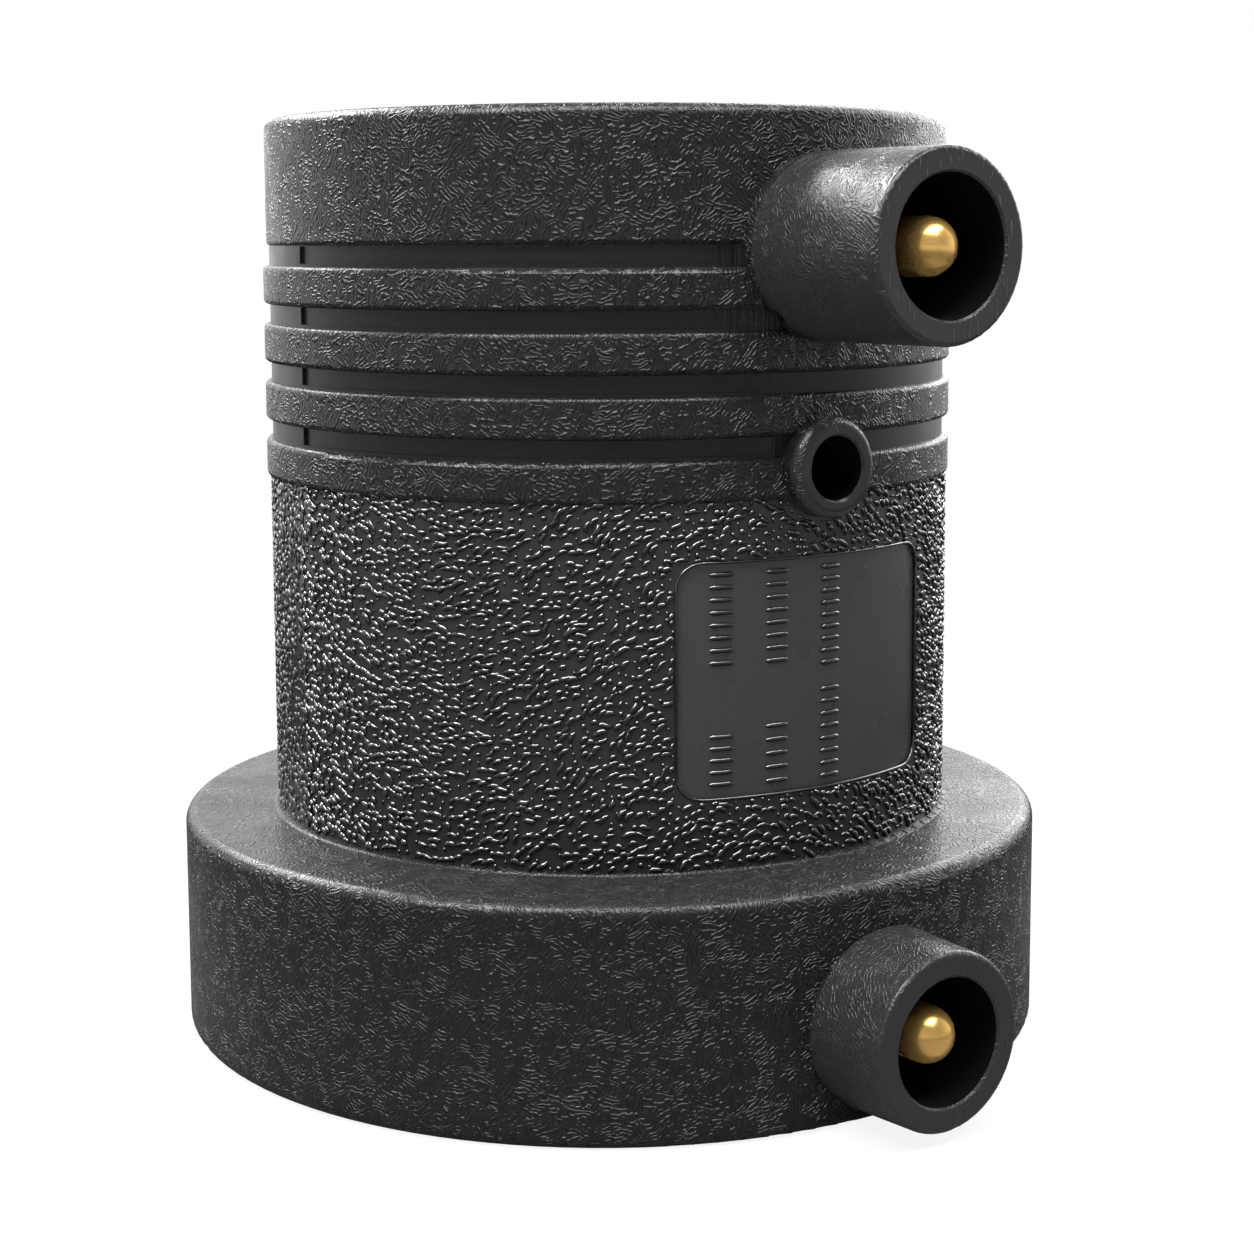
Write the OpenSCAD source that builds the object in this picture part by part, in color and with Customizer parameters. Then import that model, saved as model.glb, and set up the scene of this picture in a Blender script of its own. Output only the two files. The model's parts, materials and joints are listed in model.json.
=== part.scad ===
// Electrofusion stub end in black polyethylene: a pipe socket with two shrouded terminals on a wide flange.
// The flange stands on Z = 0, the bore runs along Z with its mouth at the top, and the terminals face -Y.

/* [Socket body] */
// Diameter over the ribs
rib_d = 66; // [62:0.5:72]
// Height from the flange's sealing face to the socket's mouth
body_h = 86.7; // [82:0.1:110]
// Height of the plain band below the mouth
band_h = 11.8; // [11:0.1:13]
// How far the band lies inside the ribs
band_inset = 0.35; // [0:0.05:0.6]
// How many ribs lie below the band
rib_count = 4; // [2:1:5]
// Height of one rib
rib_h = 3.62; // [3:0.02:4]
// Height of one groove between the ribs
rib_gap = 1.81; // [1.4:0.01:2.2]
// Depth of the grooves below the ribs
groove_depth = 0.6; // [0.5:0.05:0.9]
// Extra depth of the grooves between the parting line and the terminals
relief_depth = 0.3; // [0.1:0.05:0.6]
// Ledge left under that extra depth, along the top of each rib
relief_ledge = 0.25; // [0.1:0.05:0.5]
// How far before the terminals' plane that extra depth has run out, in degrees
relief_stop = 9.6; // [8:0.2:14]
// How far it stops before the upper shroud, in degrees
relief_clear = 1; // [0.5:0.1:3]
// How far the grained zone lies inside the ribs
grain_inset = 0.4; // [0.2:0.05:0.6]
// Edge round of the ribs
rib_round = 0.5; // [0.2:0.05:0.6]
// Edge round outside the mouth
mouth_round = 1.1; // [0.5:0.1:2]
// Turn of the mould's parting plane away from the plane square to the terminals, in degrees
parting_turn = 3; // [0:0.5:8]
// Width of the line that the mould leaves in the grained zone
parting_w = 0.3; // [0.2:0.05:0.6]
// Depth of that line
parting_depth = 0.15; // [0.05:0.05:0.3]

/* [Bores] */
// Outside diameter of the pipe
pipe_d = 50; // [46:0.5:52]
// Clearance on the pipe's diameter
pipe_clearance = 0.5; // [0.3:0.05:0.8]
// Depth of the pipe socket
socket_depth = 60.7; // [52:0.1:64]
// Diameter of the passage through the flange
flow_d = 40.8; // [36:0.2:44]
// Chamfer inside the mouth
mouth_chamfer = 1.2; // [0.5:0.1:2]
// Chamfer where the passage leaves the socket's stop
stop_chamfer = 0.8; // [0.3:0.1:1.5]

/* [Flange] */
// Diameter of the flange
flange_d = 83.2; // [78:0.2:84]
// Thickness of the flange
flange_h = 21; // [19:0.1:24]
// Edge round at the flange's top
flange_round = 1.2; // [0.5:0.1:2]
// Edge round at the sealing face
sole_round = 1.2; // [0.3:0.1:1.5]
// Fillet where the body stands on the flange
foot_fillet = 0.6; // [0.3:0.1:1.2]

/* [Marking panel] */
// Width of the smooth panel, straight across
panel_w = 27.3; // [20:0.1:32]
// Height of the panel
panel_h = 20.6; // [14:0.1:22]
// Height of the panel's lower edge above the flange
panel_rise = 6.45; // [5:0.05:9]
// Corner radius of the panel
panel_corner = 2.2; // [1:0.1:4]
// Depth of the panel below the grained zone
panel_depth = 0.25; // [0.1:0.05:0.5]

/* [Terminals] */
// Diameter of the terminal pins
pin_d = 5; // [4:0.1:5.2]
// Diameter of a pin's neck, between its collar and the floor of its well
pin_neck_d = 5.6; // [5.4:0.1:5.8]
// Diameter of a pin's root inside the body
pin_root_d = 3; // [2.4:0.1:3.4]
// Width over the knurled collar that anchors a pin
pin_collar_d = 7; // [6:0.1:8]
// Thickness of that collar
pin_collar_h = 1.6; // [1:0.1:2]
// Depth of the collar under the floor of its well
pin_collar_cover = 1; // [0.6:0.1:1.4]
// How far a pin's tip lies behind its shroud's rim
tip_recess = 0.5; // [0.3:0.1:2]
// Gap round the moulded-in roots
insert_gap = 0.02; // [0.01:0.01:0.05]
// Depth of the wells
well_depth = 14; // [13:0.1:15]
// Edge round outside a shroud's rim
rim_round = 0.45; // [0.2:0.05:0.8]
// Chamfer inside a shroud's rim
rim_chamfer = 0.25; // [0.1:0.05:0.5]
// Distance of the upper terminal's axis below the mouth
upper_drop = 11.95; // [11.5:0.05:14]
// Reach of the upper rim from the bore's axis
upper_reach = 48.5; // [47.5:0.1:52]
// Outside diameter of the upper shroud
upper_d = 16.2; // [15:0.1:17]
// Inside diameter of the upper shroud
upper_well_d = 11.8; // [11:0.1:13]
// Height of the lower terminal's axis above the sealing face
lower_z = 8.85; // [8.5:0.05:11]
// Reach of the lower rim from the bore's axis
lower_reach = 49.4; // [48.5:0.1:53]
// Outside diameter of the lower shroud at its rim
lower_d = 15.6; // [15:0.1:16.2]
// Growth of the lower shroud's diameter towards the flange
lower_draft = 0.7; // [0:0.1:0.8]
// Inside diameter of the lower shroud
lower_well_d = 11; // [10.6:0.1:12]

/* [Fusion indicator] */
// Distance of the indicator's axis below the mouth
indicator_drop = 30.9; // [29:0.1:33]
// Reach of its front from the bore's axis
indicator_reach = 34.65; // [34.2:0.05:37]
// Diameter of the indicator's boss
indicator_d = 8.75; // [8:0.05:9.5]
// Edge round of that boss
indicator_round = 0.85; // [0.4:0.05:1]
// Diameter of its well
indicator_well_d = 5.5; // [4.5:0.1:6]
// Material left between the well and the socket
indicator_floor = 3; // [2:0.1:4]

/* [Heating coil] */
// Diameter of the resistance wire
wire_d = 0.9; // [0.6:0.05:1]
// Distance between turns
coil_pitch = 3.2; // [2.6:0.1:3.4]
// How many turns it has
coil_turns = 10; // [6:1:12]
// How far the wire lies under the socket's wall
wire_cover = 0.05; // [0.02:0.01:0.1]
// Gap round the wire in its channel
wire_gap = 0.15; // [0.12:0.01:0.2]
// Turn in which the wire steps up from one turn to the next, in degrees
step_turn = 24; // [18:1:40]
// How much thicker the wire is where it is bent sharply, on the radius
elbow_swell = 0.03; // [0.02:0.01:0.06]
// Bend radius where the wire turns out to the lower terminal
wire_bend = 2; // [1.5:0.1:3]

/* [Hidden] */
$fn = 96;

rib_r = rib_d / 2;
band_r = rib_r - band_inset;
groove_r = rib_r - groove_depth;
relief_r = groove_r - relief_depth;
// How much further the straight end of the grooves' extra depth is cut, so that it crosses the round part
runout_dip = 0.02;
runout_r = relief_r - runout_dip;
relief_runout = acos(runout_r / groove_r);
runout_l = groove_r * sin(relief_runout);
grain_r = rib_r - grain_inset;
flange_r = flange_d / 2;
socket_r = (pipe_d + pipe_clearance) / 2;
flow_r = flow_d / 2;
stop_z = body_h - socket_depth;
rib_step = rib_h + rib_gap;
band_z = body_h - band_h;
grain_top = band_z - rib_count * rib_step;

upper_z = body_h - upper_drop;
indicator_z = body_h - indicator_drop;
panel_z = flange_h + panel_rise;
parting_side = 90 + parting_turn;

wire_r = wire_d / 2;
channel_w = wire_d + 2 * wire_gap;
// How far the wire's channel runs on past the ends of each turn and step, in degrees
channel_overrun = 1.5;
coil_r = socket_r + wire_cover + wire_r;
coil_bottom_z = upper_z - coil_turns * coil_pitch;
step_rise = coil_pitch / 2;
step_x = coil_r * cos(step_turn / 2);
step_y = coil_r * sin(step_turn / 2);
step_lean = atan(step_rise / step_y);
step_r = sqrt(pow(coil_r, 2) + pow(step_rise, 2));
step_side = acos(step_x / step_r);

upper_root = coil_r + wire_r + insert_gap;
lower_root = coil_r + wire_bend + insert_gap;
cut = 1;

// Height of the bottom of rib i, counted down from the band
function rib_z(i) = band_z - (i + 1) * rib_step;

// Where the even part of groove i's extra depth ends: the first one stops at the upper shroud
function relief_end(i) = i == 0 ? asin(upper_d / 2 / groove_r) + relief_clear : relief_stop + relief_runout;

// Section of a ring from the axis out to radius r, with rounds at its lower and upper edges
module ring_section(r, z0, z1, round0, round1) {
    square_from(z0 + round0, z1 - round1, r);
    if (round0 > 0) {
        square_from(z0, z1 - round1, r - round0);
        translate([r - round0, z0 + round0]) circle(r = round0);
    }
    if (round1 > 0) {
        square_from(z0 + round0, z1, r - round1);
        translate([r - round1, z1 - round1]) circle(r = round1);
    }
}

module square_from(z0, z1, r) {
    translate([0, z0]) square([r, z1 - z0]);
}

// A shape built along +Z is laid along -Y at height z
module facing(z) {
    translate([0, 0, z]) rotate([90, 0, 0]) children();
}

module body_section() {
    ring_section(flange_r, 0, flange_h, sole_round, flange_round);
    square_from(flange_h / 2, band_z + cut, groove_r);
    square_from(flange_h / 2, grain_top + rib_round, grain_r);
    ring_section(band_r, band_z, body_h, rib_round, mouth_round);
    for (i = [0 : rib_count - 1])
        ring_section(rib_r, rib_z(i), rib_z(i) + rib_h, rib_round, rib_round);
    difference() {
        square_from(flange_h - cut, flange_h + foot_fillet, grain_r + foot_fillet);
        translate([grain_r + foot_fillet, flange_h + foot_fillet]) circle(r = foot_fillet);
    }
}

// Socket, stop and passage, with the chamfers at the mouth and the stop
module bores() {
    translate([0, 0, stop_z]) cylinder(r = socket_r, h = socket_depth + cut);
    translate([0, 0, body_h - mouth_chamfer])
        cylinder(r1 = socket_r, r2 = socket_r + mouth_chamfer + cut, h = mouth_chamfer + cut);
    translate([0, 0, -cut]) cylinder(r = flow_r, h = stop_z + 2 * cut);
    translate([0, 0, stop_z - stop_chamfer])
        cylinder(r1 = flow_r, r2 = flow_r + stop_chamfer + cut, h = stop_chamfer + cut);
}

// The deeper part of groove i, from the parting line to the terminals, where it runs out along a tangent
module groove_relief(i) {
    z0 = rib_z(i) + rib_h + relief_ledge;
    section = [groove_depth + relief_depth + cut, rib_gap - relief_ledge];
    rotate([0, 0, -90 - parting_side])
        rotate_extrude(angle = parting_side - relief_end(i)) translate([relief_r, z0]) square(section);
    if (i > 0) rotate([0, 0, -90 - relief_end(i)])
        translate([runout_r, -2 * cut, z0 - runout_dip])
            cube([section[0], runout_l + 3 * cut, section[1] + 2 * runout_dip]);
}

module rounded_rectangle(w, h, r) {
    translate([-w / 2 + r, 0]) square([w - 2 * r, h]);
    translate([-w / 2, r]) square([w, h - 2 * r]);
    for (x = [-w / 2 + r, w / 2 - r], y = [r, h - r]) translate([x, y]) circle(r = r);
}

module panel_recess() {
    intersection() {
        difference() {
            translate([0, 0, panel_z - cut]) cylinder(r = rib_r, h = panel_h + 2 * cut);
            translate([0, 0, panel_z - 2 * cut]) cylinder(r = grain_r - panel_depth, h = panel_h + 4 * cut);
        }
        facing(panel_z) linear_extrude(rib_r + cut) rounded_rectangle(panel_w, panel_h, panel_corner);
    }
}

// The line left by the two halves of the mould, on both sides of the grained zone
module parting_lines() {
    z0 = flange_h + foot_fillet;
    for (side = [0, 180])
        rotate([0, 0, side - 90 - parting_side])
            translate([grain_r - parting_depth, -parting_w / 2, z0]) cube([cut, parting_w, grain_top - z0]);
}

// A round boss at height z, from its root inside the body to its front at reach
module boss(z, root, reach, d, edge_round) {
    facing(z) {
        rotate_extrude() ring_section(d / 2, reach - 2 * edge_round, reach, 0, edge_round);
        translate([0, 0, root]) cylinder(d = d, h = reach - edge_round - root);
    }
}

// The lower shroud's draft, outside the flange
module lower_taper() {
    if (lower_draft > 0) facing(lower_z) translate([0, 0, flange_r - cut])
        cylinder(d1 = lower_d + lower_draft, d2 = lower_d, h = lower_reach - rim_round - flange_r + cut);
}

// Well in a shroud or in the indicator's boss, with a chamfered rim
module well(z, reach, d, depth) {
    facing(z) {
        translate([0, 0, reach - depth]) cylinder(d = d, h = depth + cut);
        translate([0, 0, reach - rim_chamfer])
            cylinder(d1 = d, d2 = d + 2 * (rim_chamfer + cut), h = rim_chamfer + cut);
    }
}

// What of a pin is moulded in: root, knurled collar and neck; gap makes it the seat in the body
module pin_anchor(reach, root, gap) {
    neck_top = reach - well_depth;
    collar = neck_top - pin_collar_cover - pin_collar_h;
    translate([0, 0, root - gap]) cylinder(d = pin_root_d + 2 * gap, h = collar - root + cut);
    translate([0, 0, collar - gap])
        cylinder(d = pin_collar_d + 2 * gap, h = pin_collar_h + 2 * gap, $fn = 12);
    translate([0, 0, collar]) cylinder(d = pin_neck_d + 2 * gap, h = neck_top - collar + gap);
}

module terminal_pin(z, reach, root) {
    shoulder = reach - tip_recess - pin_d / 2;
    facing(z) {
        pin_anchor(reach, root, 0);
        translate([0, 0, reach - well_depth - pin_collar_cover])
            cylinder(d = pin_d, h = shoulder - reach + well_depth + pin_collar_cover);
        translate([0, 0, shoulder]) rotate_extrude() intersection() {
            circle(d = pin_d);
            square(pin_d);
        }
    }
}

// Flat turns from the lower terminal round to the upper one, with the steps between them on the +X side;
// the child is a section, of the wire or of its channel
module winding(overrun) {
    for (k = [0 : coil_turns]) translate([0, 0, coil_bottom_z + k * coil_pitch]) {
        start = (k == 0 ? -90 : step_turn / 2) - overrun;
        end = (k == 0 ? -step_turn / 2 : k == coil_turns ? 270 : 360 - step_turn / 2) + overrun;
        rotate([0, 0, start]) rotate_extrude(angle = end - start) translate([coil_r, 0]) children();
    }
    for (k = [0 : coil_turns - 1])
        translate([0, 0, coil_bottom_z + k * coil_pitch + step_rise])
            rotate([step_lean, 0, 0]) rotate([0, 0, -step_side - overrun])
                rotate_extrude(angle = 2 * (step_side + overrun)) translate([step_r, 0]) children();
}

// Straight down from the lowest turn, then out to the lower terminal
module lead() {
    translate([0, -coil_r, lower_z + wire_bend])
        linear_extrude(coil_bottom_z - lower_z - wire_bend) children();
    translate([0, -coil_r - wire_bend, lower_z + wire_bend]) rotate([-90, 0, 90])
        rotate_extrude(angle = 90) translate([wire_bend, 0]) children();
}

module elbows() {
    translate([0, -coil_r, coil_bottom_z]) sphere(r = wire_r + elbow_swell);
    for (k = [0 : coil_turns - 1], side = [-1, 1])
        translate([step_x, side * step_y, coil_bottom_z + k * coil_pitch + (1 + side) * step_rise])
            sphere(r = wire_r + elbow_swell);
}

// The wire's channel, open to the socket above its stop
module wire_channel() {
    winding(channel_overrun) translate([-wire_r - wire_cover - cut, -channel_w / 2])
        square([wire_d + wire_cover + wire_gap + cut, channel_w]);
    lead() square(channel_w, center = true);
    translate([-channel_w / 2, -coil_r, stop_z])
        cube([channel_w, coil_r - socket_r + cut, coil_bottom_z - stop_z]);
}

module fitting_body() {
    color([0.09, 0.09, 0.1]) difference() {
        union() {
            rotate_extrude() body_section();
            boss(upper_z, flow_r, upper_reach, upper_d, rim_round);
            boss(lower_z, flow_r, lower_reach, lower_d, rim_round);
            boss(indicator_z, socket_r, indicator_reach, indicator_d, indicator_round);
            lower_taper();
        }
        bores();
        for (i = [0 : rib_count - 1]) groove_relief(i);
        panel_recess();
        parting_lines();
        well(upper_z, upper_reach, upper_well_d, well_depth);
        well(lower_z, lower_reach, lower_well_d, well_depth);
        well(indicator_z, indicator_reach, indicator_well_d, indicator_reach - socket_r - indicator_floor);
        facing(upper_z) pin_anchor(upper_reach, upper_root, insert_gap);
        facing(lower_z) pin_anchor(lower_reach, lower_root, insert_gap);
        wire_channel();
    }
}

module upper_terminal_pin() {
    color([0.85, 0.63, 0.25]) terminal_pin(upper_z, upper_reach, upper_root);
}

module lower_terminal_pin() {
    color([0.85, 0.63, 0.25]) terminal_pin(lower_z, lower_reach, lower_root);
}

module heating_coil() {
    color([0.72, 0.45, 0.28]) {
        winding(0) circle(r = wire_r);
        elbows();
        lead() circle(r = wire_r);
    }
}

fitting_body();
upper_terminal_pin();
lower_terminal_pin();
heating_coil();
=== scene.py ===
# Electrofusion stub end: black grained polyethylene body, gilt terminal pins and the socket's heating wire
import json
import math

import bpy
from mathutils import Matrix, Vector

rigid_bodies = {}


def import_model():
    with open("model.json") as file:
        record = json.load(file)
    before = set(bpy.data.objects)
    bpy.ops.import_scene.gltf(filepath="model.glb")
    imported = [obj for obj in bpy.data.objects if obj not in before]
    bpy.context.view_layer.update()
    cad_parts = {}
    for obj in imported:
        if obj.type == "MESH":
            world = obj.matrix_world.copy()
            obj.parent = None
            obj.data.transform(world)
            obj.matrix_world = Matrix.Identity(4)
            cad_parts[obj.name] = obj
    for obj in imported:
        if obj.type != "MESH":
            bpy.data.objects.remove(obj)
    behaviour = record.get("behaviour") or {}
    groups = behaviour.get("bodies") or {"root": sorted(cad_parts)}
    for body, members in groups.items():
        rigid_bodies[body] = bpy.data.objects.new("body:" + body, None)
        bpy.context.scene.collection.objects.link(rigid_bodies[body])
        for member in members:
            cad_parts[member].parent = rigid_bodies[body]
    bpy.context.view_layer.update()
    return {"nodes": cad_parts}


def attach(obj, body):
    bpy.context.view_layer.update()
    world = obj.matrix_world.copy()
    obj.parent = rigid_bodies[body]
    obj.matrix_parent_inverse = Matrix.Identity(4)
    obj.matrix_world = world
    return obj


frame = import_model()
mm = 0.001
print("frame loaded")

# Where the body's looks change: heights over the sealing face, and distances from the bore's axis.
# A well is its height and its radius
fitting = {
    "bandBottom": 74.9 * mm,
    "grainTop": 53.18 * mm,
    "grainBottom": 21.6 * mm,
    "grainRadius": 32.6 * mm,  # the wall that the grain stands on
    "grooveMiddle": 32.55 * mm,  # between the grooves' floors and the ribs
    "wallMiddle": 29 * mm,  # inside it lies the bore
    "panelBack": 31 * mm,
    "panelFront": 0.1 * mm,  # how far the panel lies behind the grained wall at least
    "flangeRadius": 41.6 * mm,
    "flangeMargin": 0.3 * mm,
    "shroudStart": 33.8 * mm,  # past the band and the ribs
    "wellFloors": -26.5 * mm,  # every well lies in front of this
    "wells": ((74.75 * mm, 5.95 * mm), (8.85 * mm, 5.55 * mm), (55.8 * mm, 2.8 * mm)),
}


def clearStartScene():
    for startObject in list(bpy.data.objects):
        if startObject.type in ("CAMERA", "LIGHT") or startObject.name == "Cube":
            bpy.data.objects.remove(startObject)


# Camera at the photograph's eye point, with its turns in degrees
view = {
    "distance": 227.32 * mm,
    "eyeHeight": 75.65 * mm,
    "azimuth": 34.8,
    "yaw": 0.463,
    "pitch": 7.109,
    "roll": -0.254,
    "lens": 66.81,
    "shiftY": -0.08,
    "clipStart": 10 * mm,
}


def addCamera():
    turn, yaw = math.radians(view["azimuth"]), math.radians(view["yaw"])
    pitch, roll = math.radians(view["pitch"]), math.radians(view["roll"])
    ahead = Vector((math.sin(turn + yaw), math.cos(turn + yaw), 0))
    side = Vector((math.cos(turn + yaw), -math.sin(turn + yaw), 0))
    forward = ahead * math.cos(pitch) - Vector((0, 0, math.sin(pitch)))
    upward = ahead * math.sin(pitch) + Vector((0, 0, math.cos(pitch)))
    right = side * math.cos(roll) + upward * math.sin(roll)
    above = upward * math.cos(roll) - side * math.sin(roll)
    back = Vector((-math.sin(turn), -math.cos(turn), 0))
    eye = back * view["distance"] + Vector((0, 0, view["eyeHeight"]))
    data = bpy.data.cameras.new("camera")
    data.lens = view["lens"]
    data.shift_y = view["shiftY"]
    data.clip_start = view["clipStart"]
    camera = bpy.data.objects.new("camera", data)
    camera.matrix_world = Matrix.Translation(eye) @ Matrix((right, above, -forward)).transposed().to_4x4()
    bpy.context.scene.collection.objects.link(camera)
    bpy.context.scene.camera = camera


# Softboxes round the fitting, each by its turn from the camera (negative to the left) and its elevation
lamps = {
    "backLamp": {"turn": -131, "elevation": 39, "away": 0.5, "size": (0.34, 0.2), "watts": 4.0},
    "overheadLamp": {"turn": -5, "elevation": 66, "away": 0.45, "size": (0.56, 0.24), "watts": 5.0},
    "sideLamp": {"turn": 80, "elevation": 60, "away": 0.45, "size": (0.14, 0.14), "watts": 0.6},
    "frontLamp": {"turn": -45, "elevation": 48, "away": 0.6, "size": (0.2, 0.2), "watts": 1.9},
    "farLamp": {"turn": 140, "elevation": 26, "away": 0.5, "size": (0.5, 0.36), "watts": 2.6},
}
lampTarget = Vector((0, 0, 45 * mm))


def addLamps():
    for name, lamp in lamps.items():
        data = bpy.data.lights.new(name, "AREA")
        data.shape = "RECTANGLE"
        data.energy = lamp["watts"]
        data.size, data.size_y = lamp["size"]
        heading, rise = math.radians(view["azimuth"] - lamp["turn"]), math.radians(lamp["elevation"])
        level = Vector((-math.sin(heading), -math.cos(heading), 0))
        place = lampTarget + (level * math.cos(rise) + Vector((0, 0, math.sin(rise)))) * lamp["away"]
        facing = (lampTarget - place).to_track_quat("-Z", "Y").to_matrix().to_4x4()
        lampObject = bpy.data.objects.new(name, data)
        lampObject.matrix_world = Matrix.Translation(place) @ facing
        bpy.context.scene.collection.objects.link(lampObject)


# A small helper for node trees: nodes by type, with their inputs set by name or number
class NodeTree:
    def __init__(self, tree):
        self.tree = tree

    def add(self, kind, inputs=None, **settings):
        node = self.tree.nodes.new(kind)
        for key, value in settings.items():
            setattr(node, key, value)
        for key, value in (inputs or {}).items():
            socket = node.inputs[key]
            if isinstance(value, bpy.types.NodeSocket):
                self.tree.links.new(value, socket)
            else:
                socket.default_value = value
        return node

    def math(self, operation, first, second=0.0, clamp=False):
        inputs = {0: first, 1: second}
        return self.add("ShaderNodeMath", inputs, operation=operation, use_clamp=clamp).outputs[0]

    def chain(self, operation, values):
        result = values[0]
        for value in values[1:]:
            result = self.math(operation, result, value)
        return result

    def product(self, *factors):
        return self.chain("MULTIPLY", factors)

    def total(self, *terms):
        return self.chain("ADD", terms)

    def largest(self, *values):
        return self.chain("MAXIMUM", values)

    def under(self, value, limit):
        return self.math("LESS_THAN", value, limit)

    def over(self, value, limit):
        return self.math("GREATER_THAN", value, limit)

    def vectorMath(self, operation, first, second=None, output=0):
        inputs = {0: first} if second is None else {0: first, 1: second}
        return self.add("ShaderNodeVectorMath", inputs, operation=operation).outputs[output]

    def parts(self, vector):
        return self.add("ShaderNodeSeparateXYZ", {0: vector}).outputs

    def vector(self, x=0.0, y=0.0, z=0.0):
        return self.add("ShaderNodeCombineXYZ", {0: x, 1: y, 2: z}).outputs[0]

    def distance(self, first, second):
        return self.math("SQRT", self.total(self.product(first, first), self.product(second, second)))

    def noise(self, place, scale, detail, **more):
        inputs = {"Vector": place, "Scale": scale, "Detail": detail, **more}
        return self.add("ShaderNodeTexNoise", inputs).outputs

    def blend(self, share, first, second):
        inputs = {"Value": share, "To Min": first, "To Max": second}
        return self.add("ShaderNodeMapRange", inputs).outputs[0]

    def ramp(self, value, low, high):
        inputs = {"Value": value, "From Min": low, "From Max": high}
        return self.add("ShaderNodeMapRange", inputs, interpolation_type="SMOOTHSTEP").outputs[0]

    def mixColours(self, share, first, second):
        return self.add("ShaderNodeMix", {0: share, 6: first, 7: second}, data_type="RGBA").outputs[2]


def emptyNodes(owner):
    owner.use_nodes = True
    owner.node_tree.nodes.clear()
    return NodeTree(owner.node_tree)


def newMaterial(name):
    material = bpy.data.materials.new(name)
    nodes = emptyNodes(material)
    shader = nodes.add("ShaderNodeBsdfPrincipled")
    output = nodes.add("ShaderNodeOutputMaterial")
    nodes.tree.links.new(shader.outputs[0], output.inputs["Surface"])
    return material, nodes, shader


# Black polyethylene
plastic = {
    "colour": (0.0065, 0.0065, 0.007, 1),
    # painted light: a paler black for the grained wall, the flange's top and the shrouds, for the light they
    # catch
    "paintedLightColour": (0.0145, 0.0145, 0.0152, 1),
    # painted sheen: the marking panel is coloured lighter for the sheen of its smooth face
    "panelSheenColour": (0.026, 0.026, 0.0268, 1),
    # painted shade: the ridges are blacker than the wall, for the dark lines of shade under them
    "ridgeShadeColour": (0.003, 0.003, 0.0032, 1),
    # painted shade: the inside of the wells is blacker, for the shade in them
    "wellShadeColour": (0.002, 0.002, 0.002, 1),
    "roughness": (0.25, 0.36),
    "wellRoughness": 0.85,
    "specular": 0.35,
    # painted shade: less gloss in the grooves, for the shade in them
    "grooveShadeSpecular": 0.2625,
    # painted shade: almost no gloss inside the wells
    "wellShadeSpecular": 0.04,
    "broadScale": 150.0,
    "speckScale": 5200.0,
    "speckShare": 0.1,
    "wornSpan": (0.3, 0.7),
    "faceNormal": -0.9,  # the shrouds' faces look along -Y
    "topNormal": 0.7,
}

# Fine ridges in the plastic: patches of parallel hairs, each lying its own way, and whorls on the shrouds.
# A span of the broad noise is where they grow from the lower to the full share
hairs = {
    "height": 0.12 * mm,
    "patch": 1.15 * mm,
    "pitch": 0.32 * mm,
    "waviness": 0.9 * mm,
    "driftScale": 1100.0,
    "crest": (-0.3, 1.0),
    "hairSpan": (0.35, 0.62),
    "hairShare": (0.65, 1.0),
    "whorlScale": 160.0,
    "whorlLines": 230.0,
    "whorlRoughness": 0.4,
    "whorlDistortion": 0.6,
    "whorlSpan": (0.4, 0.6),
    "whorlShare": (0.1, 0.36),
    "shroudHair": 0.42,
    "shroudWhorl": 0.5,
}

# Flow marks of the melt in the grooves beside the terminals. They fade in and out over these turns (radians)
flowMarks = {
    "start": (-0.42, -0.3),
    "end": (-0.16, -0.1),
    "across": 26.0,
    "along": 90.0,
    "scale": 3.0,
    "share": 1.4,
}

# Scratches on the shrouds' faces
scratches = {
    "size": (3200.0, 1.0, 700.0),
    "turn": (0, 0.6, 0),
    "scale": 0.6,
    "span": (0.62, 0.7),
    "share": 0.3,
}


def hairGrain(nodes, place):
    drift = nodes.noise(place, hairs["driftScale"], 1.0)["Color"]
    shift = nodes.vectorMath("SUBTRACT", drift, (0.5, 0.5, 0.5))
    bent = nodes.add("ShaderNodeVectorMath", {0: shift, "Scale": hairs["waviness"]}, operation="SCALE")
    moved = nodes.vectorMath("ADD", place, bent.outputs[0])
    cells = nodes.add("ShaderNodeTexVoronoi", {"Vector": moved, "Scale": 1 / hairs["patch"]})
    heading = nodes.vectorMath("SUBTRACT", cells.outputs["Color"], (0.5, 0.5, 0.5))
    heading = nodes.vectorMath("NORMALIZE", heading)
    along = nodes.vectorMath("DOT_PRODUCT", moved, heading, "Value")
    wave = nodes.math("SINE", nodes.product(along, 2 * math.pi / hairs["pitch"]))
    return nodes.ramp(wave, *hairs["crest"])


def whorlGrain(nodes, place):
    # Curved lines that follow the level lines of a smooth noise
    character = {"Roughness": hairs["whorlRoughness"], "Distortion": hairs["whorlDistortion"]}
    level = nodes.noise(place, hairs["whorlScale"], 1.0, **character)[0]
    return nodes.ramp(nodes.math("SINE", nodes.product(level, hairs["whorlLines"])), *hairs["crest"])


def wellMask(nodes, x, y, z):
    insides = []
    for level, radius in fitting["wells"]:
        rise = nodes.math("SUBTRACT", z, level)
        insides.append(nodes.under(nodes.distance(x, rise), radius))
    return nodes.math("MULTIPLY", nodes.total(*insides), nodes.under(y, fitting["wellFloors"]), clamp=True)


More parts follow.
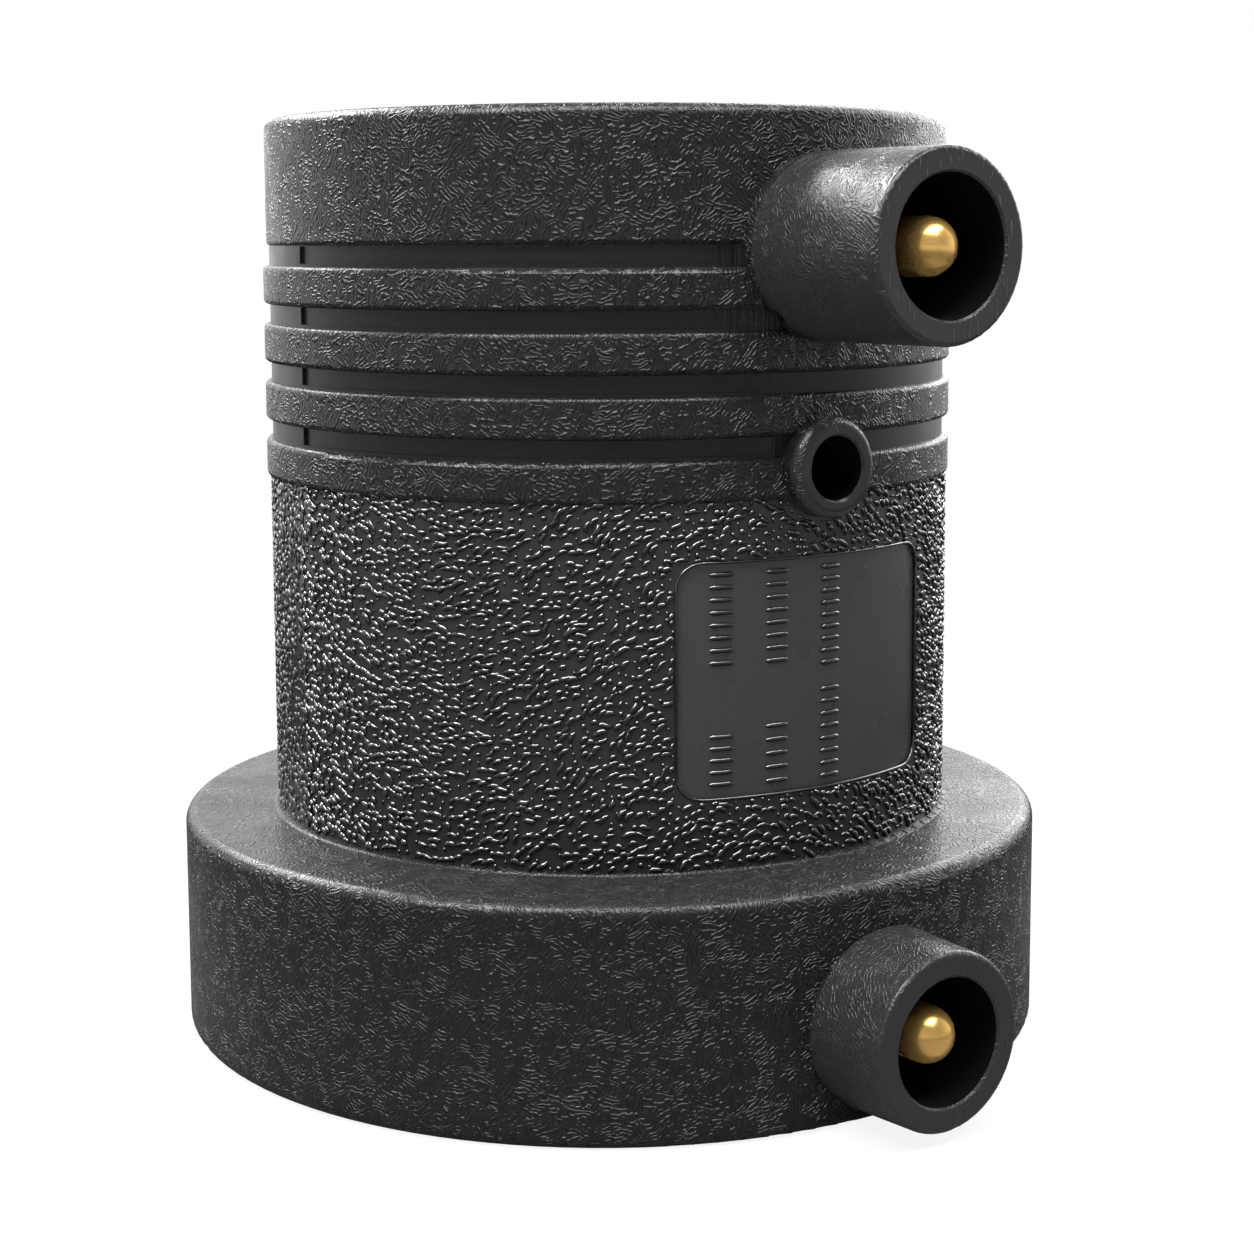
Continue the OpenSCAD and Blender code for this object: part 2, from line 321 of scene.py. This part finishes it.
def plasticZones(nodes, place):
    # The turn from the terminals, the height, and masks of the body's parts: 1 inside and 0 outside
    x, y, z = nodes.parts(place)
    _, alongNormal, upNormal = nodes.parts(nodes.add("ShaderNodeTexCoord").outputs["Normal"])
    radius = nodes.distance(x, y)
    aboveFlange = nodes.over(z, fitting["grainBottom"])
    grained = nodes.product(nodes.under(z, fitting["grainTop"]), aboveFlange)
    inRibs = nodes.product(nodes.over(z, fitting["grainTop"]), nodes.under(z, fitting["bandBottom"]))
    groove = nodes.product(nodes.under(radius, fitting["grooveMiddle"]), inRibs)
    pastFlange = fitting["flangeRadius"] + fitting["flangeMargin"]
    shroud = nodes.over(radius, nodes.blend(aboveFlange, pastFlange, fitting["shroudStart"]))
    behindGrain = nodes.under(radius, fitting["grainRadius"] - fitting["panelFront"])
    well = wellMask(nodes, x, y, z)
    face = nodes.product(nodes.under(alongNormal, plastic["faceNormal"]), shroud)
    upward = nodes.over(upNormal, plastic["topNormal"])
    bore = nodes.under(radius, fitting["wallMiddle"])
    return {
        "turn": nodes.math("ARCTAN2", x, nodes.product(y, -1.0)),
        "z": z,
        "well": well,
        "grain": grained,
        "groove": groove,
        "shroud": shroud,
        "face": face,
        "flangeTop": nodes.product(upward, nodes.under(z, fitting["grainBottom"])),
        "panel": nodes.product(grained, behindGrain, nodes.over(radius, fitting["panelBack"])),
        "smooth": nodes.largest(grained, bore, groove, face, well),
    }


def plasticHeight(nodes, place, zones, broad):
    hairShare = nodes.blend(nodes.ramp(broad, *hairs["hairSpan"]), *hairs["hairShare"])
    whorlShare = nodes.blend(nodes.ramp(broad, *hairs["whorlSpan"]), *hairs["whorlShare"])
    hair = nodes.product(hairGrain(nodes, place), hairShare)
    whorl = nodes.product(whorlGrain(nodes, place), whorlShare, hairs["shroudWhorl"])
    onShroud = nodes.total(nodes.product(hair, hairs["shroudHair"]), whorl)
    rough = nodes.math("SUBTRACT", 1.0, zones["smooth"])
    lines = nodes.product(rough, nodes.blend(zones["shroud"], hair, onShroud))
    across = nodes.product(zones["turn"], flowMarks["across"])
    along = nodes.product(zones["z"], flowMarks["along"])
    streak = nodes.noise(nodes.vector(across, 0.0, along), flowMarks["scale"], 2.0)[0]
    started = nodes.ramp(zones["turn"], *flowMarks["start"])
    ended = nodes.ramp(zones["turn"], *flowMarks["end"])
    nearTerminals = nodes.product(started, nodes.math("SUBTRACT", 1.0, ended))
    flow = nodes.product(nearTerminals, zones["groove"], nodes.product(streak, flowMarks["share"]))
    speck = nodes.noise(place, plastic["speckScale"], 2.0)[0]
    scratchPlace = nodes.add("ShaderNodeMapping", {
        "Vector": place, "Scale": scratches["size"], "Rotation": scratches["turn"]}).outputs[0]
    scratch = nodes.ramp(nodes.noise(scratchPlace, scratches["scale"], 1.0)[0], *scratches["span"])
    onFace = nodes.product(scratch, zones["face"], scratches["share"])
    return nodes.total(lines, flow, nodes.product(speck, plastic["speckShare"]), onFace)


def plasticMaterial():
    material, nodes, shader = newMaterial("blackPolyethylene")
    place = nodes.add("ShaderNodeTexCoord").outputs["Object"]
    zones = plasticZones(nodes, place)
    broad = nodes.noise(place, plastic["broadScale"], 3.0)[0]
    height = plasticHeight(nodes, place, zones, broad)
    bump = nodes.add("ShaderNodeBump", {"Height": height, "Distance": hairs["height"], "Strength": 1.0})
    nodes.tree.links.new(bump.outputs[0], shader.inputs["Normal"])
    # Painted light: the grained wall, the flange's upward faces and the shrouds are coloured paler for the
    # light that falls on them
    paintedLight = nodes.largest(zones["grain"], zones["flangeTop"], zones["shroud"])
    ground = nodes.mixColours(paintedLight, plastic["colour"], plastic["paintedLightColour"])
    # Painted sheen: the marking panel gets a lighter colour
    tone = nodes.mixColours(zones["panel"], ground, plastic["panelSheenColour"])
    # Painted shade: the wells' insides get a blacker colour
    colour = nodes.mixColours(zones["well"], tone, plastic["wellShadeColour"])
    nodes.tree.links.new(colour, shader.inputs["Base Color"])
    worn = nodes.blend(nodes.ramp(broad, *plastic["wornSpan"]), *plastic["roughness"])
    rough = nodes.blend(zones["well"], worn, plastic["wellRoughness"])
    nodes.tree.links.new(rough, shader.inputs["Roughness"])
    # Painted shade: the grooves between the ribs are made less glossy
    sheen = nodes.blend(zones["groove"], plastic["specular"], plastic["grooveShadeSpecular"])
    # Painted shade: the wells' insides lose their gloss
    wellSheen = nodes.blend(zones["well"], sheen, plastic["wellShadeSpecular"])
    nodes.tree.links.new(wellSheen, shader.inputs["Specular IOR Level"])
    return material


# Gloss of the raised ridges with painted shade: full specular and coat on top, dulled at the foot and on the
# underside as painted shade. The foot's span is measured outwards from the wall that the ridges stand on
polishAndShade = {
    "footSpan": (0.01 * mm, 0.12 * mm),
    "undersideSpan": (-0.6, -0.05),
    "shadeLevel": 0.1,
    "roughness": (0.16, 0.26),
    "coatRoughness": 0.15,
    "speckScale": 2600.0,
    "speckHeight": 0.02 * mm,
    "speckStrength": 0.5,
    "speckSpan": (0.35, 0.65),
}


def ridgeMaterial(name, foot):
    material, nodes, shader = newMaterial(name)
    place = nodes.add("ShaderNodeTexCoord").outputs["Object"]
    x, y, _ = nodes.parts(place)
    upNormal = nodes.parts(nodes.add("ShaderNodeTexCoord").outputs["Normal"])[2]
    # Painted shade: specular and coat drop to the shade level at each ridge's foot and on its downward side
    fromFoot = nodes.ramp(nodes.distance(x, y), *(foot + height for height in polishAndShade["footSpan"]))
    notUnder = nodes.blend(nodes.ramp(upNormal, *polishAndShade["undersideSpan"]), polishAndShade["shadeLevel"], 1.0)
    shine = nodes.product(fromFoot, notUnder)
    speck = nodes.noise(place, polishAndShade["speckScale"], 2.0)[0]
    bump = nodes.add("ShaderNodeBump", {
        "Height": speck, "Distance": polishAndShade["speckHeight"], "Strength": polishAndShade["speckStrength"]})
    nodes.tree.links.new(bump.outputs[0], shader.inputs["Normal"])
    rough = nodes.blend(nodes.ramp(speck, *polishAndShade["speckSpan"]), *polishAndShade["roughness"])
    nodes.tree.links.new(rough, shader.inputs["Roughness"])
    nodes.tree.links.new(nodes.blend(shine, polishAndShade["shadeLevel"], 1.0), shader.inputs["Specular IOR Level"])
    nodes.tree.links.new(shine, shader.inputs["Coat Weight"])
    # Painted shade: the ridges' near-black colour darkens their lower flanks
    shader.inputs["Base Color"].default_value = plastic["ridgeShadeColour"]
    shader.inputs["Coat Roughness"].default_value = polishAndShade["coatRoughness"]
    return material


# Raised grain: short crooked ridges, laid out flat and then wrapped round the body.
# A shape is its length and the bends of its two halves, in millimetres
grain = {
    "spacing": 0.585 * mm,
    "densest": 8.0e6,
    "width": 0.53 * mm,
    "height": 0.26 * mm,
    "sink": 1.2 * mm,
    "sides": 7,
    "fullness": 1.12,
    "taperPower": 3.0,
    "handle": 0.4,
    "points": (3, 5),  # along a short ridge and along the others
    "shapes": (
        (0.18, 0.0, 0.0), (0.42, 0.05, 0.05), (0.65, 0.12, -0.1), (0.85, 0.3, 0.25),
        (1.15, 0.32, -0.32), (1.35, 0.1, 0.38), (0.95, 0.75, 0.1)),
    "shortLength": 0.4,
    "smallest": (0.8, 0.75, 0.75),
    "largest": (1.25, 1.15, 1.15),
    "sizeSeed": 3,
    "sweepTurns": 3.4,
    "sweepMiddle": math.radians(-152),
    "lean": math.radians(38),
    "patchLean": math.radians(168),  # for the whole range of the noise, of which a patch has a small part
    "patchScale": 330.0,
    "wobble": math.radians(16),
    "wobbleSeed": 7,
    "parting": math.radians(-3),
    "partingBlend": 0.01,
    "softShare": 0.4,
    "sectors": 5,
    "seed": 4,
}
panel = {
    "width": 27.3 * mm,
    "height": 20.6 * mm,
    "middle": 37.75 * mm,
    "corner": 2.2 * mm,
    "depth": 0.25 * mm,
    "margin": 0.12 * mm,
}
indicator = {"z": 55.8 * mm, "clear": 4.7 * mm}


def newTree(name, floats, wholes=()):
    tree = bpy.data.node_groups.new(name, "GeometryNodeTree")
    for label in floats:
        tree.interface.new_socket(label, in_out="INPUT", socket_type="NodeSocketFloat")
    for label in wholes:
        tree.interface.new_socket(label, in_out="INPUT", socket_type="NodeSocketInt")
    tree.interface.new_socket("Geometry", in_out="OUTPUT", socket_type="NodeSocketGeometry")
    nodes = NodeTree(tree)
    return tree, nodes, nodes.add("NodeGroupInput").outputs


def finishTree(nodes, geometry, material):
    real = nodes.add("GeometryNodeRealizeInstances", {0: geometry})
    smooth = nodes.add("GeometryNodeSetShadeSmooth", {"Geometry": real.outputs[0]})
    painted = nodes.add("GeometryNodeSetMaterial", {"Geometry": smooth.outputs[0], "Material": material})
    nodes.add("NodeGroupOutput", {0: painted.outputs[0]})


def wrapRound(nodes, geometry, turn, outward, level):
    x = nodes.product(outward, nodes.math("COSINE", turn))
    y = nodes.product(outward, nodes.math("SINE", turn))
    place = nodes.vector(x, y, level)
    return nodes.add("GeometryNodeSetPosition", {"Geometry": geometry, "Position": place}).outputs[0]


def flatPlace(nodes):
    return nodes.parts(nodes.add("GeometryNodeInputPosition").outputs[0])


def turnOf(nodes, across, radius, middle):
    # The angle round the body of a point that lies flat at this distance from the middle
    return nodes.total(nodes.math("DIVIDE", across, radius), middle)


def taperedTube(nodes, line, points, section, fullness, power):
    # A tube whose radius goes down towards both ends
    fine = nodes.add("GeometryNodeResampleCurve", {"Curve": line, "Count": points}, mode="COUNT")
    along = nodes.add("GeometryNodeSplineParameter").outputs["Factor"]
    fromMiddle = nodes.math("ABSOLUTE", nodes.math("SUBTRACT", nodes.product(along, 2.0), 1.0))
    taper = nodes.math("SQRT", nodes.math("SUBTRACT", fullness, nodes.math("POWER", fromMiddle, power)))
    tube = nodes.add("GeometryNodeCurveToMesh", {
        "Curve": fine.outputs[0], "Profile Curve": section.outputs[0], "Scale": taper, "Fill Caps": True})
    return tube.outputs[0]


def ridgeShape(nodes, length, firstBend, secondBend):
    half = length * mm / 2
    handle = half * grain["handle"]
    line = nodes.add("GeometryNodeCurvePrimitiveBezierSegment", {
        "Resolution": 12, "Start": (-half, 0, 0), "Start Handle": (-handle, firstBend * mm, 0),
        "End Handle": (handle, secondBend * mm, 0), "End": (half, 0, 0)})
    section = nodes.add("GeometryNodeCurvePrimitiveCircle", {
        "Resolution": grain["sides"], "Radius": grain["width"] / 2})
    points = grain["points"][0 if length < grain["shortLength"] else 1]
    return taperedTube(nodes, line.outputs[0], points, section, grain["fullness"], grain["taperPower"])


def ridgeTurns(nodes, given):
    # The ridges lean one way and then the other round the body, and each patch adds a lean of its own
    turnHere = turnOf(nodes, flatPlace(nodes)[0], given["Radius"], given["Middle Angle"])
    fromMiddle = nodes.math("SUBTRACT", turnHere, grain["sweepMiddle"])
    fromSweep = nodes.add("ShaderNodeMath", {0: fromMiddle, 1: math.pi, 2: -math.pi}, operation="WRAP")
    swing = nodes.math("SINE", nodes.product(fromSweep.outputs[0], grain["sweepTurns"]))
    noise = nodes.add("ShaderNodeTexNoise", {"Scale": grain["patchScale"], "Detail": 1.0}).outputs[0]
    patch = nodes.math("SUBTRACT", noise, 0.5)
    wobble = nodes.add("FunctionNodeRandomValue", {
        2: -grain["wobble"], 3: grain["wobble"], "Seed": grain["wobbleSeed"]}, data_type="FLOAT").outputs[1]
    leans = nodes.total(nodes.product(patch, grain["patchLean"]), wobble)
    return nodes.vector(0.0, 0.0, nodes.total(nodes.product(swing, grain["lean"]), leans))


def clearedShare(nodes, given, turn, level):
    # 1 inside the marking panel and round the indicator, where the ridges are sunk into the body
    across = nodes.product(nodes.math("COSINE", turn), given["Radius"])
    inWidth = nodes.under(nodes.math("ABSOLUTE", across), panel["width"] / 2 + panel["margin"])
    fromMiddle = nodes.math("ABSOLUTE", nodes.math("SUBTRACT", level, panel["middle"]))
    inHeight = nodes.under(fromMiddle, panel["height"] / 2 + panel["margin"])
    rise = nodes.math("SUBTRACT", level, indicator["z"])
    atIndicator = nodes.under(nodes.distance(across, rise), indicator["clear"])
    inFront = nodes.under(nodes.math("SINE", turn), 0.0)
    return nodes.product(nodes.largest(nodes.product(inWidth, inHeight), atIndicator), inFront)


def grainTree(material):
    tree, nodes, given = newTree(
        "grainRidges", ("Radius", "Bottom", "Top", "Middle Angle", "Sweep", "Spacing", "Height"), ("Seed",))
    grid = nodes.add("GeometryNodeMeshGrid", {
        "Size X": nodes.product(given["Radius"], given["Sweep"]),
        "Size Y": nodes.math("SUBTRACT", given["Top"], given["Bottom"]), "Vertices X": 2, "Vertices Y": 2})
    points = nodes.add("GeometryNodeDistributePointsOnFaces", {
        "Mesh": grid.outputs[0], "Distance Min": given["Spacing"], "Density Max": grain["densest"],
        "Seed": given["Seed"]}, distribute_method="POISSON")
    turns = ridgeTurns(nodes, given)
    size = nodes.add("FunctionNodeRandomValue", {
        0: grain["smallest"], 1: grain["largest"], "Seed": grain["sizeSeed"]}, data_type="FLOAT_VECTOR")
    shapes = nodes.add("GeometryNodeJoinGeometry")
    for shape in grain["shapes"]:
        instance = nodes.add("GeometryNodeGeometryToInstance", {0: ridgeShape(nodes, *shape)})
        tree.links.new(instance.outputs[0], shapes.inputs[0])
    placed = nodes.add("GeometryNodeInstanceOnPoints", {
        "Points": points.outputs["Points"], "Instance": shapes.outputs[0], "Pick Instance": True,
        "Rotation": turns, "Scale": size.outputs[0]})
    solid = nodes.add("GeometryNodeRealizeInstances", {0: placed.outputs[0]})
    flat = flatPlace(nodes)
    turn = turnOf(nodes, flat[0], given["Radius"], given["Middle Angle"])
    level = nodes.total(flat[1], nodes.product(nodes.total(given["Top"], given["Bottom"]), 0.5))
    # The half of the mould behind the parting line leaves lower ridges
    fromParting = nodes.math("SINE", nodes.math("SUBTRACT", turn, grain["parting"]))
    behind = nodes.ramp(fromParting, -grain["partingBlend"], grain["partingBlend"])
    stretch = nodes.math("DIVIDE", given["Height"], grain["width"] / 2)
    lift = nodes.product(flat[2], nodes.product(nodes.blend(behind, 1.0, grain["softShare"]), stretch))
    sunk = nodes.product(clearedShare(nodes, given, turn, level), -grain["sink"])
    outward = nodes.total(given["Radius"], nodes.total(lift, sunk))
    finishTree(nodes, wrapRound(nodes, solid.outputs[0], turn, outward, level), material)
    return tree


def meshFromTree(name, tree, values, material):
    source = bpy.data.objects.new(name + "Source", bpy.data.meshes.new(name + "Source"))
    bpy.context.scene.collection.objects.link(source)
    modifier = source.modifiers.new("shape", "NODES")
    modifier.node_group = tree
    sockets = {item.name: item.identifier for item in tree.interface.items_tree if item.in_out == "INPUT"}
    for label, value in values.items():
        modifier[sockets[label]] = value
    evaluated = source.evaluated_get(bpy.context.evaluated_depsgraph_get())
    mesh = bpy.data.meshes.new_from_object(evaluated)
    bpy.data.objects.remove(source)
    mesh.name = name
    if not mesh.materials:
        mesh.materials.append(material)
    piece = bpy.data.objects.new(name, mesh)
    bpy.context.scene.collection.objects.link(piece)
    return piece


def addGrain(material):
    tree = grainTree(material)
    sweep = 2 * math.pi / grain["sectors"]
    for sector in range(grain["sectors"]):
        piece = meshFromTree("grainRidges" + str(sector + 1), tree, {
            "Radius": fitting["grainRadius"],
            "Bottom": fitting["grainBottom"],
            "Top": fitting["grainTop"],
            "Middle Angle": sector * sweep,
            "Sweep": sweep,
            "Spacing": grain["spacing"],
            "Height": grain["height"],
            "Seed": grain["seed"] + sector,
        }, material)
        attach(piece, "root")
        triangles = sum(len(face.vertices) - 2 for face in piece.data.polygons)
        reach = max(math.hypot(vertex.co.x, vertex.co.y) for vertex in piece.data.vertices)
        print("grain sector", sector + 1, triangles, "triangles, out to", round(reach / mm, 3), "mm")


# Raised lines on the marking panel: its edge, and plain dashes in six rows.
# A row is its turn from the terminals in degrees and its lower and upper end in millimetres
marks = {
    "edgeRadius": 0.13 * mm,
    "edgeStep": 0.5 * mm,
    "edgeSides": 8,
    "cornerSteps": 8,
    "dashLength": 2.2 * mm,
    "dashRadius": 0.22 * mm,
    "dashPitch": 1.0 * mm,
    "dashSides": 10,
    "dashPoints": 9,
    "fullness": 1.15,
    "taperPower": 8.0,
    "rows": (
        (2.0, 38.3, 47.2), (2.0, 28.2, 36.4),
        (-8.1, 39.0, 47.2), (-8.1, 28.4, 33.7),
        (-17.5, 39.1, 47.2), (-17.5, 28.5, 33.1)),
}


def panelEdgeTree(material):
    tree, nodes, given = newTree("panelEdge", ("Radius", "Width", "Height", "Corner", "Line"))
    outline = nodes.add("GeometryNodeCurvePrimitiveQuadrilateral", {
        "Width": given["Width"], "Height": given["Height"]}, mode="RECTANGLE")
    corners = nodes.add("GeometryNodeFilletCurve", {
        "Curve": outline.outputs[0], "Radius": given["Corner"], "Count": marks["cornerSteps"]}, mode="POLY")
    fine = nodes.add("GeometryNodeResampleCurve", {
        "Curve": corners.outputs[0], "Length": marks["edgeStep"]}, mode="LENGTH")
    section = nodes.add("GeometryNodeCurvePrimitiveCircle", {
        "Resolution": marks["edgeSides"], "Radius": given["Line"]})
    tube = nodes.add("GeometryNodeCurveToMesh", {
        "Curve": fine.outputs[0], "Profile Curve": section.outputs[0], "Fill Caps": False})
    flat = flatPlace(nodes)
    # The panel is straight across, so its edge is bent round the body by the arc sine of this distance
    bent = nodes.math("ARCSINE", nodes.math("DIVIDE", flat[0], given["Radius"]))
    turn = nodes.total(bent, -math.pi / 2)
    outward = nodes.total(given["Radius"], flat[2])
    level = nodes.total(flat[1], panel["middle"])
    finishTree(nodes, wrapRound(nodes, tube.outputs[0], turn, outward, level), material)
    return tree


def markRowTree(material):
    tree, nodes, given = newTree("markRow", ("Radius", "Turn", "Bottom", "Top", "Length", "Line"))
    rowLength = nodes.math("SUBTRACT", given["Top"], given["Bottom"])
    gaps = nodes.math("FLOOR", nodes.math("DIVIDE", rowLength, marks["dashPitch"]))
    count = nodes.add("FunctionNodeFloatToInt", {0: nodes.total(gaps, 1.0)}).outputs[0]
    row = nodes.add("GeometryNodeMeshLine", {
        "Count": count, "Start Location": nodes.vector(y=given["Bottom"]),
        "Offset": nodes.vector(y=given["Top"])}, mode="END_POINTS")
    half = nodes.product(given["Length"], 0.5)
    dash = nodes.add("GeometryNodeCurvePrimitiveLine", {
        "Start": nodes.vector(nodes.product(half, -1.0)), "End": nodes.vector(half)})
    section = nodes.add("GeometryNodeCurvePrimitiveCircle", {
        "Resolution": marks["dashSides"], "Radius": given["Line"]})
    tube = taperedTube(
        nodes, dash.outputs[0], marks["dashPoints"], section, marks["fullness"], marks["taperPower"])
    placed = nodes.add("GeometryNodeInstanceOnPoints", {"Points": row.outputs[0], "Instance": tube})
    solid = nodes.add("GeometryNodeRealizeInstances", {0: placed.outputs[0]})
    flat = flatPlace(nodes)
    turn = turnOf(nodes, flat[0], given["Radius"], given["Turn"])
    outward = nodes.total(given["Radius"], flat[2])
    finishTree(nodes, wrapRound(nodes, solid.outputs[0], turn, outward, flat[1]), material)
    return tree


def addMarks(material):
    edge = meshFromTree("panelEdge", panelEdgeTree(material), {
        "Radius": fitting["grainRadius"],
        "Width": panel["width"],
        "Height": panel["height"],
        "Corner": panel["corner"],
        "Line": marks["edgeRadius"],
    }, material)
    pieces = [edge]
    tree = markRowTree(material)
    for number, (turn, bottom, top) in enumerate(marks["rows"]):
        pieces.append(meshFromTree("markRow" + str(number + 1), tree, {
            "Radius": fitting["grainRadius"] - panel["depth"],
            "Turn": math.radians(turn - 90),
            "Bottom": bottom * mm + marks["dashRadius"],
            "Top": top * mm - marks["dashRadius"],
            "Length": marks["dashLength"],
            "Line": marks["dashRadius"],
        }, material))
    for piece in pieces:
        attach(piece, "root")
    print("panel marks ready")


# The haze of a metal roughens it unevenly
hazeSpan = (0.3, 0.7)

# Gilt terminal pins
gilt = {
    "colour": (0.86, 0.53, 0.16, 1),
    "roughness": (0.24, 0.29),
    "metallic": 0.85,
    "hazeScale": 260.0,
    "hazeDetail": 1.0,
}

# Resistance wire
wire = {
    "colour": (0.55, 0.27, 0.14, 1),
    "roughness": (0.25, 0.45),
    "metallic": 1.0,
    "hazeScale": 500.0,
    "hazeDetail": 4.0,
}


def metalMaterial(name, finish):
    material, nodes, shader = newMaterial(name)
    place = nodes.add("ShaderNodeTexCoord").outputs["Object"]
    haze = nodes.noise(place, finish["hazeScale"], finish["hazeDetail"])[0]
    rough = nodes.add("ShaderNodeMapRange", {
        "Value": haze, "From Min": hazeSpan[0], "From Max": hazeSpan[1],
        "To Min": finish["roughness"][0], "To Max": finish["roughness"][1]})
    nodes.tree.links.new(rough.outputs[0], shader.inputs["Roughness"])
    shader.inputs["Base Color"].default_value = finish["colour"]
    shader.inputs["Metallic"].default_value = finish["metallic"]
    return material


def paint(node, material):
    data = frame["nodes"][node].data
    data.materials.clear()
    data.materials.append(material)


# White surroundings for what the camera sees. The gloss sees them brightest behind the fitting and to its
# left, and sees the floor's glow darker close to it, a painted shade. A span is where a change begins and
# ends
stageLook = {
    "floorSize": 6.0,
    "floorDrop": 0.02 * mm,
    "floorColour": (0.75, 0.75, 0.75, 1),
    "shadowSpan": (0.05, 0.16),
    "shadowShare": 0.12,
    "worldLight": 0.4,
    "worldGloss": 0.4,
    "glossBehind": 1.15,
    "behindSpan": (-0.6, 0.9),
    "glossLeft": 0.2,
    "glossOverhead": 0.6,
    "overheadSpan": (0.15, 0.95),
    "floorSpan": (0.18, 0.7),
    # painted shade in the floor's reflected glow near the fitting, white further off
    "floorGlossShade": (0.03, 0.95),
}


def seenStrength(nodes, camera, gloss, rest):
    path = nodes.add("ShaderNodeLightPath").outputs
    shiny = nodes.largest(path["Is Glossy Ray"], path["Is Transmission Ray"])
    return nodes.blend(path["Is Camera Ray"], nodes.blend(shiny, rest, gloss), camera)


def addWorld():
    world = bpy.data.worlds.new("studio")
    nodes = emptyNodes(world)
    turn = math.radians(view["azimuth"])
    behind, left = (math.sin(turn), math.cos(turn), 0), (-math.cos(turn), math.sin(turn), 0)
    towards = nodes.add("ShaderNodeTexCoord").outputs["Generated"]
    ahead = nodes.vectorMath("DOT_PRODUCT", towards, behind, "Value")
    aside = nodes.vectorMath("DOT_PRODUCT", towards, left, "Value")
    fromBehind = nodes.product(nodes.ramp(ahead, *stageLook["behindSpan"]), stageLook["glossBehind"])
    level = nodes.total(fromBehind, nodes.product(aside, stageLook["glossLeft"]), stageLook["worldGloss"])
    overhead = nodes.ramp(nodes.parts(towards)[2], *stageLook["overheadSpan"])
    dimmed = nodes.product(level, nodes.blend(overhead, 1.0, 1 - stageLook["glossOverhead"]))
    strength = seenStrength(nodes, 1.0, dimmed, stageLook["worldLight"])
    background = nodes.add("ShaderNodeBackground", {"Color": (1, 1, 1, 1), "Strength": strength})
    nodes.add("ShaderNodeOutputWorld", {"Surface": background.outputs[0]})
    bpy.context.scene.world = world


def addFloor():
    bpy.ops.mesh.primitive_plane_add(size=stageLook["floorSize"], location=(0, 0, -stageLook["floorDrop"]))
    floor = bpy.context.object
    floor.name = "floor"
    material = bpy.data.materials.new("paleFloor")
    nodes = emptyNodes(material)
    matte = nodes.add("ShaderNodeBsdfDiffuse", {"Color": stageLook["floorColour"]})
    place = nodes.add("ShaderNodeTexCoord").outputs["Object"]
    away = nodes.vectorMath("LENGTH", place, output="Value")
    near = nodes.blend(nodes.ramp(away, *stageLook["shadowSpan"]), 1 - stageLook["shadowShare"], 1.0)
    # Painted shade: the floor's glow, as the gloss sees it, is darker close to the fitting
    shine = nodes.blend(nodes.ramp(away, *stageLook["floorSpan"]), *stageLook["floorGlossShade"])
    glow = nodes.add("ShaderNodeEmission", {
        "Color": (1, 1, 1, 1), "Strength": seenStrength(nodes, 1.0, shine, 0.0)})
    share = nodes.product(seenStrength(nodes, 1.0, 1.0, 0.0), near)
    mixed = nodes.add("ShaderNodeMixShader", {0: share, 1: matte.outputs[0], 2: glow.outputs[0]})
    nodes.add("ShaderNodeOutputMaterial", {"Surface": mixed.outputs[0]})
    floor.data.materials.append(material)


clearStartScene()
addCamera()
addLamps()
addWorld()
addFloor()
print("camera and light ready")

pinGilt = metalMaterial("giltBrass", gilt)
paint("fitting_body", plasticMaterial())
paint("upper_terminal_pin", pinGilt)
paint("lower_terminal_pin", pinGilt)
paint("heating_coil", metalMaterial("resistanceWire", wire))
# The ridges' and the marks' material dulls their feet and undersides as painted shade
addGrain(ridgeMaterial("glossyRidgesPaintedShade", fitting["grainRadius"]))
addMarks(ridgeMaterial("glossyMarksPaintedShade", fitting["grainRadius"] - panel["depth"]))
print("materials, grain and marks ready")

bpy.context.scene.view_settings.view_transform = "Standard"
